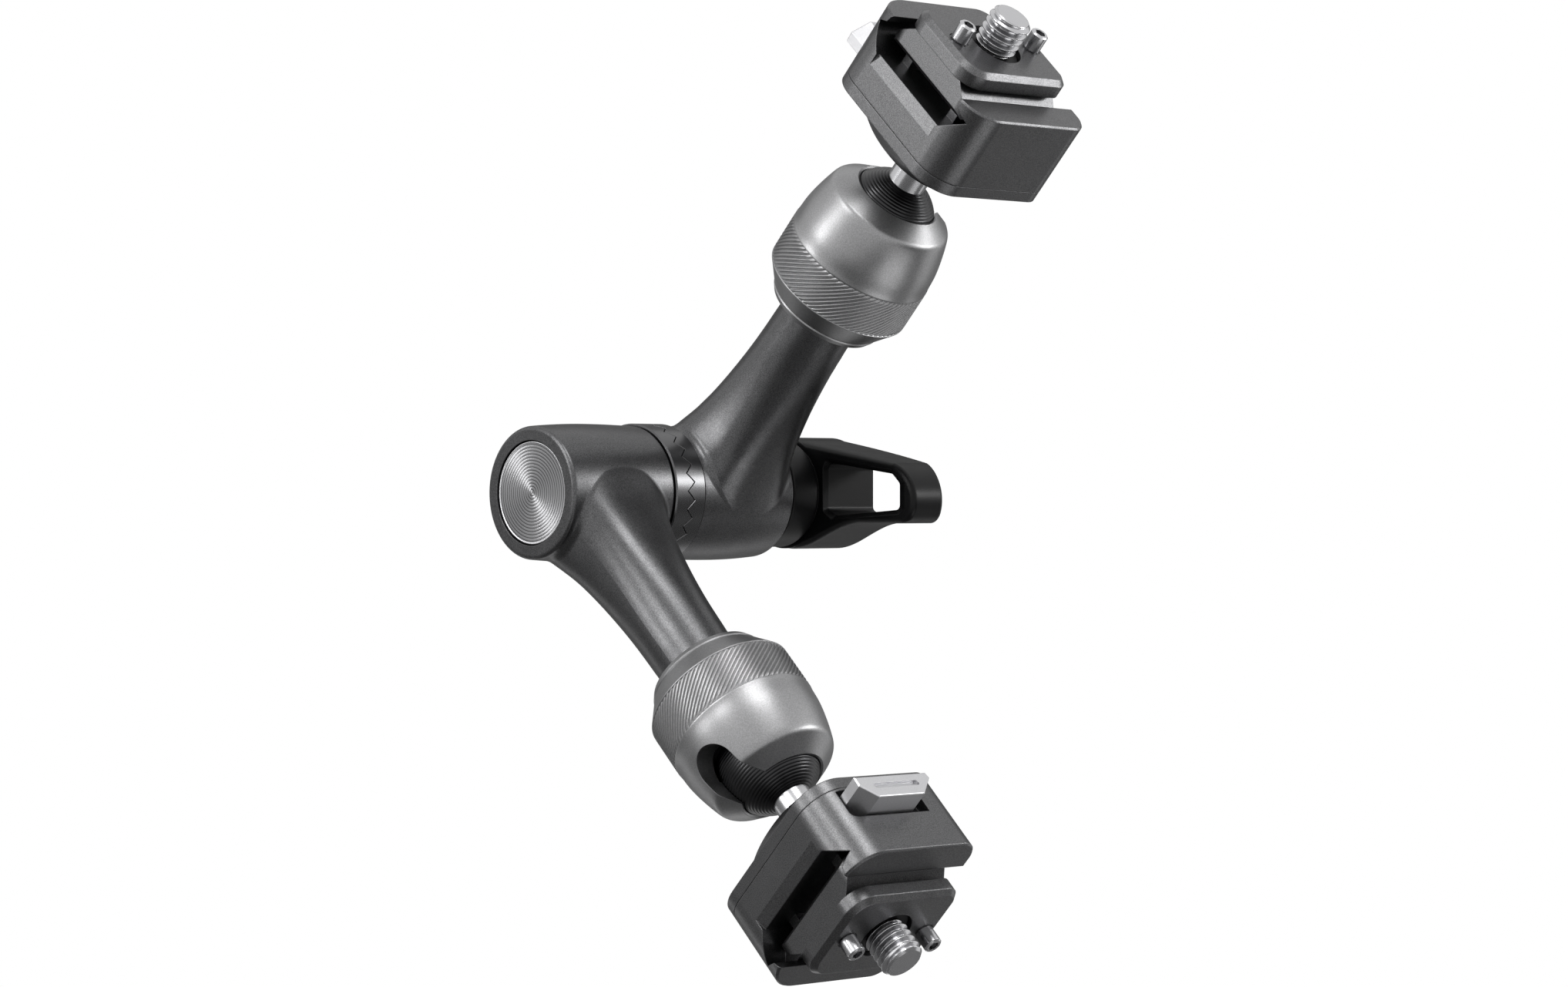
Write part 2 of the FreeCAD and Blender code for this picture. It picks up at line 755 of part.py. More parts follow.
def cover_screw(place):
    body = screw_shape(cover_screw_radius, cover_screw_head)
    body = body.cut(hex_prism_z(1.6, cover_bottom - 1, cover_bottom + 1.1))
    return body.translated(V(place[0], place[1], 0))


def channel_section():
    """Undercut channel that takes the foot of the plate, as (y, z) pairs"""
    right = [
        (floor_half, floor_level),
        (groove_half, groove_level),
        (lip_half, lip_underside),
        (mouth_half, jaw_top),
        (mouth_half, jaw_top + 2),
    ]
    left = [(-y, z) for y, z in reversed(right)]
    return right + left


def plate_rests():
    """Two rails under the plate and the fixed jaw that hooks over one edge of its foot"""
    half = 0.62 * clamp_half_depth
    rails = []
    for y in (-1.0, 1.0):
        middle = y * (screw_head_radius + 2.4)
        z1 = plate_bottom - fit
        rails.append(box(-half, half, middle - 1.3, middle + 1.3, floor_level - 0.5, z1))
    y0 = plate_foot_half + 0.1
    slope = (plate_foot_half - plate_neck_half) / plate_flank_rise
    z0 = plate_bottom + 0.3
    z1 = lip_underside - 0.1
    points = [(y0 + 3.2, z0), (y0, z0), (y0, foot_level + 0.05)]
    points += [(y0 - slope * (z1 - foot_level - 0.05), z1), (lip_half + 0.3, z1 + 0.3)]
    points += [(groove_half + 0.3, groove_level)]
    jaw = prism([(-half, -y, z) for y, z in points], (2 * half, 0, 0))
    return rails + [jaw]


def latch_ways():
    """Pocket for the tab, slot for the tongue, window for the post and the spring room"""
    w = tongue_half + 0.2
    low = body_bottom - 1
    mid = latch_offset
    length = latch_half_length + 0.3
    z0 = body_bottom + 0.58
    z1 = body_bottom + latch_rise + latch_height + 0.4
    r = 1.9
    pocket = box(mid - length, mid + length, pocket_floor, clamp_half_width + 1, z0, z1)
    pocket = fillet_where(pocket, r, lambda e: e.BoundBox.XMax < mid - length + 0.1
                          and e.BoundBox.ZMin > z1 - 0.1)
    tongue_top = tongue_level + tongue_thickness + 0.2
    post = post_inner()
    tongue = box(-w, w, foot_inner - 0.3, clamp_half_width, low, tongue_top)
    window = box(-w, w, post - 0.25, post + post_thickness + latch_travel + 0.2, low, hook_top() + 0.25)
    room = box(-w, w, foot_inner - 0.3, spring_wall(), low, spring_level() + spring_radius + 1.0)
    depth = latch_travel + 0.3
    middle = V(0, spring_wall() - 0.1, spring_level())
    well = Part.makeCylinder(spring_radius + 0.6, depth, middle, V(0, 1, 0))
    return [pocket, tongue, window, room, well]


def post_inner():
    return plate_foot_half + 0.15


def hook_top():
    return foot_level + 1.45


def spring_level():
    return tongue_level + tongue_thickness + spring_radius + latch_spring_wire + 0.3


def spring_wall():
    return foot_inner + 1.1 + latch_spring_length + 0.1


def clamp_body():
    top = jaw_top
    body = clamp_slab(body_bottom, top)
    body = body.makeChamfer(edge_chamfer, [e for e in body.Edges if e.BoundBox.ZMin > top - 0.01])
    d = clamp_half_depth
    body = body.cut(prism([(-d - 1, y, z) for y, z in channel_section()], (2 * d + 2, 0, 0)))
    bevel = [(-d - 0.1, floor_level - front_bevel), (-d, floor_level - front_bevel)]
    bevel += [(-d + 1.0, floor_level + 0.01), (-d - 0.1, floor_level + 0.01)]
    body = body.cut(prism([(x, -floor_half, z) for x, z in bevel], (0, 2 * floor_half, 0)))
    for piece in plate_rests():
        body = body.fuse(piece)
    body = body.cut(latch_ways())
    body = body.cut(cyl_z(stem_screw_head + 0.4, body_bottom - 1, stem_top + stem_screw_height + 0.5))
    for x, y in cover_screw_places():
        top_z = cover_bottom + cover_screw_length + 0.3
        body = body.cut(cyl_z(cover_screw_radius + grip, body_bottom - 1, top_z, x, y))
    return body


# Latch

def latch_outline():
    """Trapezoid with cut corners, as (x, z) pairs"""
    a = latch_offset - latch_half_length + 0.1
    b = latch_offset + latch_half_length - 0.1
    z0 = body_bottom + latch_rise
    z1 = z0 + latch_height
    s = latch_slope
    points = [(a + 0.1, z0), (b - 0.3, z0), (b, z0 + 1.5), (b - s - 0.8, z1)]
    return points + [(a + s, z1), (a, z1 - s + 0.3)]


def latch_tab():
    y0 = pocket_floor + 0.2
    y1 = clamp_half_width + latch_out
    tab = prism([(x, y0, z) for x, z in latch_outline()], (0, y1 - y0, 0))
    tab = fillet_where(tab, 0.35, lambda e: e.BoundBox.YMin > y1 - 0.01)
    tab = tab.cut(thumb_slot(y1))
    t = tongue_half
    z0 = tongue_level
    z1 = z0 + tongue_thickness
    tongue = box(-t, t, foot_inner, y0 + 0.5, z0, z1)
    foot = box(-0.6 * t, 0.6 * t, foot_inner, foot_inner + 1.0, z0, spring_level() + spring_radius)
    post = post_inner()
    slope = (plate_foot_half - plate_neck_half) / plate_flank_rise
    top = hook_top()
    nose = top - 0.3
    hook = [(post, z0), (post, foot_level + 0.1), (post - slope * (nose - foot_level - 0.1), nose)]
    hook += [(post, top), (post + post_thickness, top), (post + post_thickness, z0)]
    arm = prism([(-t, y, z) for y, z in hook], (2 * t, 0, 0))
    return tab.fuse([tongue, foot, arm])


def thumb_slot(y1):
    half, r = 6.5, 0.65
    x = latch_offset
    z = body_bottom + latch_rise + 2.6
    slot = box(x - half + r, x + half - r, y1 - 0.7, y1 + 1, z - r, z + r)
    for end in (x - half + r, x + half - r):
        slot = slot.fuse(Part.makeCylinder(r, 1.7, V(end, y1 - 0.7, z), V(0, 1, 0)))
    return slot


def latch_spring():
    spring = coil(spring_radius, latch_spring_wire, latch_spring_length, latch_spring_turns)
    spring.rotate(V(0, 0, 0), V(1, 0, 0), -90)
    return spring.translated(V(0, foot_inner + 1.02, spring_level()))


# Quick-release plate, screw and pins

def plate_foot():
    """Dovetail foot: its section along the channel, trimmed by its plan and its bottom bevel"""
    half, neck = plate_foot_half, plate_neck_half
    edge = foot_level - plate_foot_edge
    right = [(half - 1.3, plate_bottom), (half, edge), (half, foot_level), (neck, neck_level)]
    right += [(neck, neck_level + 0.5)]
    section = right + [(-y, z) for y, z in reversed(right)]
    front, back = plate_front - plate_step, plate_back - 0.8
    body = prism([(-front, y, z) for y, z in section], (front + back, 0, 0))
    rounds = (3.0, 4.0, 4.0, 3.0)
    body = body.common(rounded_slab(-front, back, -half, half, plate_bottom, neck_level + 0.5, rounds))
    top = neck_level + 1
    ends = [(-front + 1.2, plate_bottom), (-front, edge + 0.1), (-front, top), (back, top)]
    ends += [(back, edge + 0.1), (back - 1.2, plate_bottom)]
    return body.common(prism([(x, -half, z) for x, z in ends], (0, 2 * half, 0)))


def release_plate():
    rounds = (plate_back_round, plate_front_round, plate_front_round, plate_back_round)
    w = plate_half_width
    slab = rounded_slab(-plate_front, plate_back, -w, w, neck_level, plate_top, rounds)
    slab = slab.makeChamfer(plate_bevel, [e for e in slab.Edges if e.BoundBox.ZMin > plate_top - 0.01])
    body = slab.fuse(plate_foot())
    body = body.cut(cyl_z(screw_radius + fit, plate_bottom - 1, plate_top + 1))
    body = body.cut(cyl_z(screw_head_radius + free, plate_bottom - 1, head_top + fit))
    body = body.cut(cyl_z(clip_radius + free, clip_floor, plate_top + 1))
    for x in (-pin_spacing / 2, pin_spacing / 2):
        body = body.cut(cyl_z(pin_shank_radius + grip, plate_top - pin_depth, plate_top + 1, x))
        body = body.cut(cyl_z(pin_radius + free, plate_top - pin_neck, plate_top + 1, x))
    return body


def locating_pin(end):
    x = end * pin_spacing / 2
    top = plate_top + pin_height
    shoulder = plate_top + pin_neck
    r, shank = pin_radius, pin_shank_radius
    profile = [(0, plate_top - pin_depth), (shank, plate_top - pin_depth), (shank, shoulder), (r, shoulder)]
    profile += [(r, top - 0.3), (r - 0.3, top), (0, top)]
    return turned_z(profile).translated(V(x, 0, 0)).cut(hex_prism_z(pin_socket, top - 2.0, top + 1, x))


def mount_screw():
    r = screw_radius
    z0 = head_top - screw_head_height
    top = plate_top + screw_height
    groove = [clip_floor, clip_floor + clip_thickness + 2 * fit]
    profile = [(0, z0), (screw_head_radius - 0.4, z0), (screw_head_radius, z0 + 0.4)]
    profile += [(screw_head_radius, head_top), (r, head_top), (r, groove[0])]
    profile += [(r - screw_groove, groove[0]), (r - screw_groove, groove[1]), (r, groove[1])]
    profile += [(r, top - 0.8), (r - 0.8, top), (0, top)]
    body = turned_z(profile)
    body = body.cut(box(-0.8, 0.8, -screw_head_radius - 1, screw_head_radius + 1, z0 - 1, z0 + 1.2))
    return body.cut(hex_prism_z(4.0, z0 - 1, z0 + 2.2))


def screw_clip():
    """Open retaining ring in the groove of the screw"""
    z0 = clip_floor + fit
    z1 = z0 + clip_thickness
    inner = screw_radius - screw_groove + grip
    ring = cyl_z(clip_radius, z0, z1).cut(cyl_z(inner, z0 - 1, z1 + 1))
    return ring.cut(box(0, clip_radius + 1, -1.2, 1.2, z0 - 1, z1 + 1))


# Placing

seat = V(-arm_offset, 0, plate_top)
origin = FreeCAD.Rotation(V(1, 0, 0), lower_arm_angle).multVec(seat)


def export(name, shape, angle, x=0.0):
    """Turn a piece with its arm, move the lower screw seat to the origin and write it"""
    placed = shape.translated(V(x, 0, 0))
    placed.rotate(V(0, 0, 0), V(1, 0, 0), angle)
    placed.translate(-origin)
    placed.exportStep("parts/" + name + ".step")


def export_end(word, side, angle):
    x = side * arm_offset
    export(word + "_collar_sleeve", collar_sleeve(side), angle, x)
    export(word + "_collar_nut", collar_nut(), angle, x)
    export(word + "_ball", ball(), angle, x)
    export(word + "_stem", stem(), angle, x)
    export(word + "_stem_screw", stem_screw(), angle, x)
    export(word + "_ball_cup", ball_cup(), angle, x)
    export(word + "_cup_washer", cup_washer(), angle, x)
    export(word + "_clamp_cover", clamp_cover(), angle, x)
    export(word + "_clamp_body", clamp_body(), angle, x)
    for place, letter in zip(cover_screw_places(), "abcd"):
        export(word + "_cover_screw_" + letter, cover_screw(place), angle, x)
    export(word + "_latch_tab", latch_tab(), angle, x)
    export(word + "_latch_spring", latch_spring(), angle, x)
    export(word + "_release_plate", release_plate(), angle, x)
    export(word + "_pin_front", locating_pin(-1), angle, x)
    export(word + "_pin_back", locating_pin(1), angle, x)
    export(word + "_mount_screw", mount_screw(), angle, x)
    export(word + "_screw_clip", screw_clip(), angle, x)


export("lower_arm", lower_arm(), lower_arm_angle)
export("lower_rosette", lower_rosette(), lower_arm_angle)
export("hub_cap", hub_cap(), lower_arm_angle)
export("hub_bolt", hub_bolt(), lower_arm_angle)
export("hub_spring", hub_spring(), lower_arm_angle)
export("hub_bush", hub_bush(), lower_arm_angle)
export("upper_arm", upper_arm(), upper_arm_angle)
export("upper_rosette", upper_rosette(), upper_arm_angle)
export("thrust_washer", thrust_washer(), upper_arm_angle)
export("lever_handle", lever_handle(), 0.0)
export("lever_nut", lever_nut(), 0.0)
export_end("lower", -1, lower_arm_angle)
export_end("upper", 1, upper_arm_angle)
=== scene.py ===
import json
import math

import bmesh
import bpy
import numpy as np
from mathutils import Matrix, Vector


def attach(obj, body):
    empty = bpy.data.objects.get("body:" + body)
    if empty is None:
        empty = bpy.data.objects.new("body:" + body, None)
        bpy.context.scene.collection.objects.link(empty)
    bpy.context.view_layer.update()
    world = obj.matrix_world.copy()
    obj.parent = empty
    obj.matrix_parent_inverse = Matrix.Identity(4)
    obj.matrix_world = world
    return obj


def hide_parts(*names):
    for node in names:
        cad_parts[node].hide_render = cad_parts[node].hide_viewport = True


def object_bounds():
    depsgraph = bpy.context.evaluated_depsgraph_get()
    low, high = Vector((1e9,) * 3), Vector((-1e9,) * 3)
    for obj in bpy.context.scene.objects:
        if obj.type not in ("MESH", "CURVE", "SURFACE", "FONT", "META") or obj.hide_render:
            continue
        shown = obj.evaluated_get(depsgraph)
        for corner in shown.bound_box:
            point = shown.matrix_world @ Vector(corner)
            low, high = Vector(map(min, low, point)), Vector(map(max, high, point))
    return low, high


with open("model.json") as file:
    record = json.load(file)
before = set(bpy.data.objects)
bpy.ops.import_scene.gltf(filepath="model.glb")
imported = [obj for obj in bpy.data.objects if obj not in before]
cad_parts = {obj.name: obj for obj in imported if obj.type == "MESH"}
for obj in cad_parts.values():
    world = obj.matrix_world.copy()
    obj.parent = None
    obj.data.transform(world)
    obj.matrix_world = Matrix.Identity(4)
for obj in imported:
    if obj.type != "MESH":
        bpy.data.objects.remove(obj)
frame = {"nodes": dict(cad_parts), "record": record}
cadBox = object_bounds()
print("stage: solids loaded")

# Everything below is in metres. Each arm has its own frame: x along the hub axis, z out along the arm.
mm = 0.001
pose = {
    "lowerAngle": 133.6,       # of the arm about the hub axis, from +Z
    "upperAngle": 43.6,
    "armOffset": 19.0 * mm,    # arm axis to the middle of the hub
    "plateTop": 133.22 * mm,   # hub axis to the seat of the quick-release plate
    "ballCentre": 84.0 * mm,
}


def turnAboutX(degrees):
    return np.array(Matrix.Rotation(math.radians(degrees), 3, "X"))


seat = turnAboutX(pose["lowerAngle"]) @ np.array([-pose["armOffset"], 0.0, pose["plateTop"]])
hubCentre = -seat


# Points of an arm's own frame, its axis at x = 0, carried to the part's frame: turn, then move by the seat
def armToPart(end, points):
    side = 1 if end == "upper" else -1
    moved = np.asarray(points) + [side * pose["armOffset"], 0.0, 0.0]
    return moved @ turnAboutX(pose[end + "Angle"]).T - seat


# sRGB hex colour as linear RGBA
def linear(hexColour):
    channels = [int(hexColour[k:k + 2], 16) / 255 for k in (1, 3, 5)]
    return [c / 12.92 if c <= 0.04045 else ((c + 0.055) / 1.055) ** 2.4 for c in channels] + [1.0]


# New shader node: values go to its sockets or settings, links to its inputs
def addNode(tree, kind, links=None, **values):
    node = tree.nodes.new(kind)
    for key, value in values.items():
        if key in node.inputs:
            node.inputs[key].default_value = value
        else:
            setattr(node, key, value)
    for key, source in (links or {}).items():
        tree.links.new(source, node.inputs[key])
    return node


grainTones = (0.3, 0.7)   # noise values at which the speckle is darkest and lightest
cloudSize = 5 * mm        # of the mottle in the roughness


# A finish: colour, roughness with a slight mottle, edges that a tumbler has softened, and a grain when asked.
# The grain of blasted metal is finer than 0.1 mm; it is drawn at grainMm so that it shows.
def makeFinish(name, colour, roughness, metallic=1.0, edgeMm=0.15, grainMm=0.0, grainHeight=0.0, speckle=0.0,
               mottle=0.05, specular=None, anisotropic=None):
    material = bpy.data.materials.new(name)
    material.use_nodes = True
    tree = material.node_tree
    shader = tree.nodes["Principled BSDF"]
    shader.inputs["Base Color"].default_value = linear(colour)
    shader.inputs["Metallic"].default_value = metallic
    shader.inputs["Roughness"].default_value = roughness
    if specular is not None:
        shader.inputs["Specular IOR Level"].default_value = specular
    if anisotropic is not None:
        shader.inputs["Anisotropic"].default_value = anisotropic
    coords = addNode(tree, "ShaderNodeTexCoord").outputs["Object"]
    normal = addNode(tree, "ShaderNodeBevel", samples=4, Radius=edgeMm * mm).outputs["Normal"]
    if grainMm:
        grain = addNode(tree, "ShaderNodeTexNoise", {"Vector": coords}, Scale=1 / (grainMm * mm), Detail=1.0)
        bump = addNode(tree, "ShaderNodeBump", {"Height": grain.outputs["Fac"], "Normal": normal},
                       Distance=grainHeight * mm)
        normal = bump.outputs["Normal"]
        if speckle:
            ramp = addNode(tree, "ShaderNodeValToRGB", {"Fac": grain.outputs["Fac"]})
            tone = np.array(linear(colour)[:3])
            ramp.color_ramp.elements[0].position = grainTones[0]
            ramp.color_ramp.elements[1].position = grainTones[1]
            ramp.color_ramp.elements[0].color = [*(tone * (1 - speckle)), 1.0]
            ramp.color_ramp.elements[1].color = [*(tone * (1 + speckle)), 1.0]
            tree.links.new(ramp.outputs["Color"], shader.inputs["Base Color"])
    if mottle:
        cloud = addNode(tree, "ShaderNodeTexNoise", {"Vector": coords}, Scale=1 / cloudSize, Detail=3.0)
        spread = addNode(tree, "ShaderNodeMapRange", {"Value": cloud.outputs["Fac"]})
        spread.inputs["To Min"].default_value = roughness - mottle
        spread.inputs["To Max"].default_value = roughness + mottle
        tree.links.new(spread.outputs["Result"], shader.inputs["Roughness"])
    tree.links.new(normal, shader.inputs["Normal"])
    return material


# Arms, clamps, plates and collars: aluminium blasted with fine beads, then anodised. That leaves a soft,
# wide highlight with a sparkle of grain in it.
blastedBlack = makeFinish("blackAnodisedAluminium", "#565657", 0.35, edgeMm=0.25, grainMm=0.22,
                          grainHeight=0.007, speckle=0.34)
blastedDark = makeFinish("darkAnodisedAluminium", "#5e5e5f", 0.35, edgeMm=0.3, grainMm=0.22,
                         grainHeight=0.007, speckle=0.32)
blastedGrey = makeFinish("greyAnodisedAluminium", "#8e8e8f", 0.38, edgeMm=0.2, grainMm=0.26,
                         grainHeight=0.008, speckle=0.14)
# Toothed rings: steel, ground and blackened, so their sheen is tighter than that of the arms
blackenedSteel = makeFinish("blackenedSteel", "#5c5c5d", 0.26, edgeMm=0.08, mottle=0.02)
# Balls: turned and left dark by a hard anodising that keeps its gloss
turnedBlack = makeFinish("turnedBlackAluminium", "#3a3a3b", 0.3, edgeMm=0.04, mottle=0.02)
# Screws, pins and stems: stainless steel, turned and tumbled to a satin shine
satinStainless = makeFinish("satinStainless", "#b8b8ba", 0.25, edgeMm=0.06, mottle=0.0)
# Springs and cup washers: spring steel, drawn or rolled bright
springSteel = makeFinish("springSteel", "#a8a8aa", 0.3, edgeMm=0.05)
# Bolt, nut and small screws: steel with a black oxide, nearly black and a little oily
oxideSteel = makeFinish("blackOxideSteel", "#2e2e30", 0.4, edgeMm=0.1)
# Bush: sintered bronze, pressed to size, which leaves a warm, slightly dull metal
bronze = makeFinish("sinteredBronze", "#a07b45", 0.4, edgeMm=0.1)
# Lever: glass-filled nylon from a finely eroded mould, nearly black with a faint sheen
nylon = makeFinish("blackNylon", "#0a0a0b", 0.38, metallic=0.0, edgeMm=0.35, grainMm=0.3, grainHeight=0.008,
                   specular=0.16)
# Washer, ball cups and clip rings: turned acetal, black and waxy
acetal = makeFinish("blackAcetal", "#0c0c0d", 0.5, metallic=0.0, edgeMm=0.1, specular=0.3)
# Latch tabs: aluminium, finely blasted and anodised clear
clearAluminium = makeFinish("clearAnodisedAluminium", "#c4c4c6", 0.36, edgeMm=0.12, grainMm=0.2,
                            grainHeight=0.008, speckle=0.06)
# Cap: aluminium faced on a lathe; the sheen is drawn out across its fine rings, and each groove is drawn as a
# dark line of painted shade in the base colour
ringPitch = 0.72 * mm
# Painted shade: the base colour is darkened to this grey in and near each groove, out to upTo pitches from it
groovePaintedShade = {"upTo": 0.06, "colour": "#606061"}   # distance from the groove, in pitches
crestTone = {"from": 0.22, "colour": "#b6b6b8"}
spunAluminium = makeFinish("facedAluminium", "#b0b0b2", 0.31, edgeMm=0.02, mottle=0.0, anisotropic=0.9)
spunTree = spunAluminium.node_tree
spunShader = spunTree.nodes["Principled BSDF"]
tangent = addNode(spunTree, "ShaderNodeTangent", direction_type="RADIAL", axis="X")
spunTree.links.new(tangent.outputs["Tangent"], spunShader.inputs["Tangent"])
spunCoords = addNode(spunTree, "ShaderNodeTexCoord").outputs["Object"]
fromCentre = addNode(spunTree, "ShaderNodeVectorMath", operation="SUBTRACT")
spunTree.links.new(spunCoords, fromCentre.inputs[0])
fromCentre.inputs[1].default_value = hubCentre
acrossAxis = addNode(spunTree, "ShaderNodeVectorMath", operation="MULTIPLY")
spunTree.links.new(fromCentre.outputs["Vector"], acrossAxis.inputs[0])
acrossAxis.inputs[1].default_value = (0, 1 / ringPitch, 1 / ringPitch)
ringCount = addNode(spunTree, "ShaderNodeVectorMath", operation="LENGTH")
spunTree.links.new(acrossAxis.outputs["Vector"], ringCount.inputs[0])
# Distance to the nearest groove, in pitches: 0 in the groove, 0.5 on the crest between two
ringWave = addNode(spunTree, "ShaderNodeMath", operation="PINGPONG")
spunTree.links.new(ringCount.outputs["Value"], ringWave.inputs[0])
ringWave.inputs[1].default_value = 0.5
# Base colour from the distance to the groove: painted shade in the grooves, the crest colour between them
ringPaintedShade = addNode(spunTree, "ShaderNodeValToRGB", {"Fac": ringWave.outputs["Value"]})
ringPaintedShade.color_ramp.elements[0].position = groovePaintedShade["upTo"]
ringPaintedShade.color_ramp.elements[0].color = linear(groovePaintedShade["colour"])
ringPaintedShade.color_ramp.elements[1].position = crestTone["from"]
ringPaintedShade.color_ramp.elements[1].color = linear(crestTone["colour"])
spunTree.links.new(ringPaintedShade.outputs["Color"], spunShader.inputs["Base Color"])

finishes = {
    "arm": blastedBlack,
    "rosette": blackenedSteel,
    "cap": spunAluminium,
    "steel": oxideSteel,
    "spring_steel": springSteel,
    "bush": bronze,
    "washer": acetal,
    "lever": nylon,
    "collar": blastedGrey,
    "ball": turnedBlack,
    "bright": satinStainless,
    "cup": acetal,
    "clamp": blastedDark,
    "plate": blastedDark,
    "latch": clearAluminium,
    "clip": acetal,
}

slotOf = {part["node"]: part["material_slot"] for part in frame["record"]["subparts"]}
for node, shape in frame["nodes"].items():
    shape.data.materials.clear()
    shape.data.materials.append(finishes[slotOf[node]])
    shape.data.shade_smooth()
print("stage: finishes set")


mergeDistance = 1e-7


# Mesh from arrays of vertices and faces, riding on a body. Doubles are merged and the normals point out.
def addPiece(name, vertices, faces, body, slotName, replaced=(), sharpAngle=38):
    mesh = bpy.data.meshes.new(name)
    mesh.from_pydata(vertices.tolist(), [], faces.tolist())
    work = bmesh.new()
    work.from_mesh(mesh)
    bmesh.ops.remove_doubles(work, verts=work.verts, dist=mergeDistance)
    bmesh.ops.dissolve_degenerate(work, edges=work.edges, dist=mergeDistance)
    bmesh.ops.recalc_face_normals(work, faces=work.faces)
    work.to_mesh(mesh)
    work.free()
    mesh.shade_smooth()
    mesh.set_sharp_from_angle(angle=math.radians(sharpAngle))
    piece = bpy.data.objects.new(name, mesh)
    bpy.context.scene.collection.objects.link(piece)
    mesh.materials.append(finishes[slotName])
    if replaced:
        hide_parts(*replaced)
    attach(piece, body)


# Quads between the rows of a grid; its last column lies on the first and is merged with it later
def gridFaces(rows, columns):
    row, column = np.meshgrid(np.arange(rows - 1), np.arange(columns - 1), indexing="ij")
    first = (row * columns + column).ravel()
    return np.stack([first, first + 1, first + columns + 1, first + columns], axis=1)


# Turned surface about z: x = radius cos angle, y = radius sin angle; the three arrays share one shape
def turnedPoints(radius, height, angle):
    radius, height, angle = np.broadcast_arrays(radius, height, angle)
    return np.stack([radius * np.cos(angle), radius * np.sin(angle), height], axis=-1).reshape(-1, 3)


def fullCircle(columns):
    return np.linspace(0, 2 * math.pi, columns)[None, :]


# Skin over the recessed band of each collar: slanted grooves with a flat crest, fading out at both ends
knurl = {
    "start": 63.72 * mm,
    "end": 73.72 * mm,
    "radius": 17.12 * mm,
    "depth": 0.33 * mm,
    "count": 78,
    "leanPerMetre": math.radians(4.2) / mm,
    "crest": 0.42,        # share of the pitch that stays at full height
    "flank": 0.4,         # share of the half pitch over which the groove falls to its floor
    "endDepth": 0.6,      # share of the depth at which both ends of the band lie
    "fade": 0.55 * mm,
    "rows": 30,
    "perGroove": 12,
}


# Groove depth is a clipped triangle wave of (angle times count); each row is turned by lean times height
def knurlBand(end):
    columns = knurl["count"] * knurl["perGroove"] + 1
    height = np.linspace(knurl["start"], knurl["end"], knurl["rows"])[:, None]
    angle = fullCircle(columns)
    wave = np.abs((knurl["count"] * angle / (2 * math.pi) % 1.0) - 0.5) * 2
    cut = np.clip((wave - knurl["crest"]) / knurl["flank"], 0, 1)
    near = np.minimum(height - knurl["start"], knurl["end"] - height)
    fade = np.clip(near / knurl["fade"], 0, 1)
    radius = knurl["radius"] - knurl["depth"] * (cut * fade + knurl["endDepth"] * (1 - fade))
    turned = angle + knurl["leanPerMetre"] * (height - knurl["start"])
    points = turnedPoints(radius, height, turned)
    faces = gridFaces(knurl["rows"], columns)
    addPiece(end + "KnurlBand", armToPart(end, points), faces, end + "_collar", "collar")


for end in ("lower", "upper"):
    knurlBand(end)
print("stage: knurled bands")


# Mounting screw, 3/8-16: a true helical thread with a relief groove and a flat head below the plate
screw = {
    "radius": 4.7625 * mm,
    "pitch": 1.5875 * mm,
    "depth": 0.95 * mm,
    "threadStart": pose["plateTop"] - 1.0 * mm,
    "threadEnd": pose["plateTop"] + 7.7 * mm,
    "chamfer": 0.9 * mm,
    "tipFlat": 0.8,       # radius of the inner part of the tip, as a share of the tip's
    "rootFlat": 0.2,      # shares of the half pitch: flat at the root, then the flank
    "flank": 0.65,
    "headRadius": 6.8 * mm,
    "headBevel": 0.4 * mm,
    "headTop": pose["plateTop"] - 7.3 * mm,
    "headBottom": pose["plateTop"] - 10.2 * mm,
    "neckEnd": pose["plateTop"] - 1.9 * mm,
    "perTurn": 24,
    "columns": 121,
}


# Rows follow the helix, so the crests stay sharp: height = pitch times (row + angle over a full turn).
# The profile is a 60 degree V with narrow flats, cut back by a chamfer at both ends.
def threadPoints():
    turns = (screw["threadEnd"] - screw["threadStart"]) / screw["pitch"]
    rows = int((turns + 2) * screw["perTurn"])
    step = (np.arange(rows) / screw["perTurn"] - 1.0)[:, None]
    angle = fullCircle(screw["columns"])
    height = screw["threadStart"] + screw["pitch"] * (step + angle / (2 * math.pi))
    height = np.clip(height, screw["threadStart"], screw["threadEnd"])
    wave = np.abs((step % 1.0) - 0.5) * 2
    ridge = np.clip((wave - screw["rootFlat"]) / screw["flank"], 0, 1)
    radius = screw["radius"] - screw["depth"] * (1 - ridge)
    radius = np.minimum(radius, screw["radius"] - screw["chamfer"] + screw["threadEnd"] - height)
    radius = np.minimum(radius, screw["radius"] - screw["depth"] + height - screw["threadStart"])
    return turnedPoints(radius, height, angle), gridFaces(rows, screw["columns"])


# Turned skin from (radius, height) pairs, one row of the grid for each pair
def profilePoints(profile, columns=97):
    profile = np.array(profile)
    points = turnedPoints(profile[:, :1], profile[:, 1:], fullCircle(columns))
    return points, gridFaces(len(profile), columns)


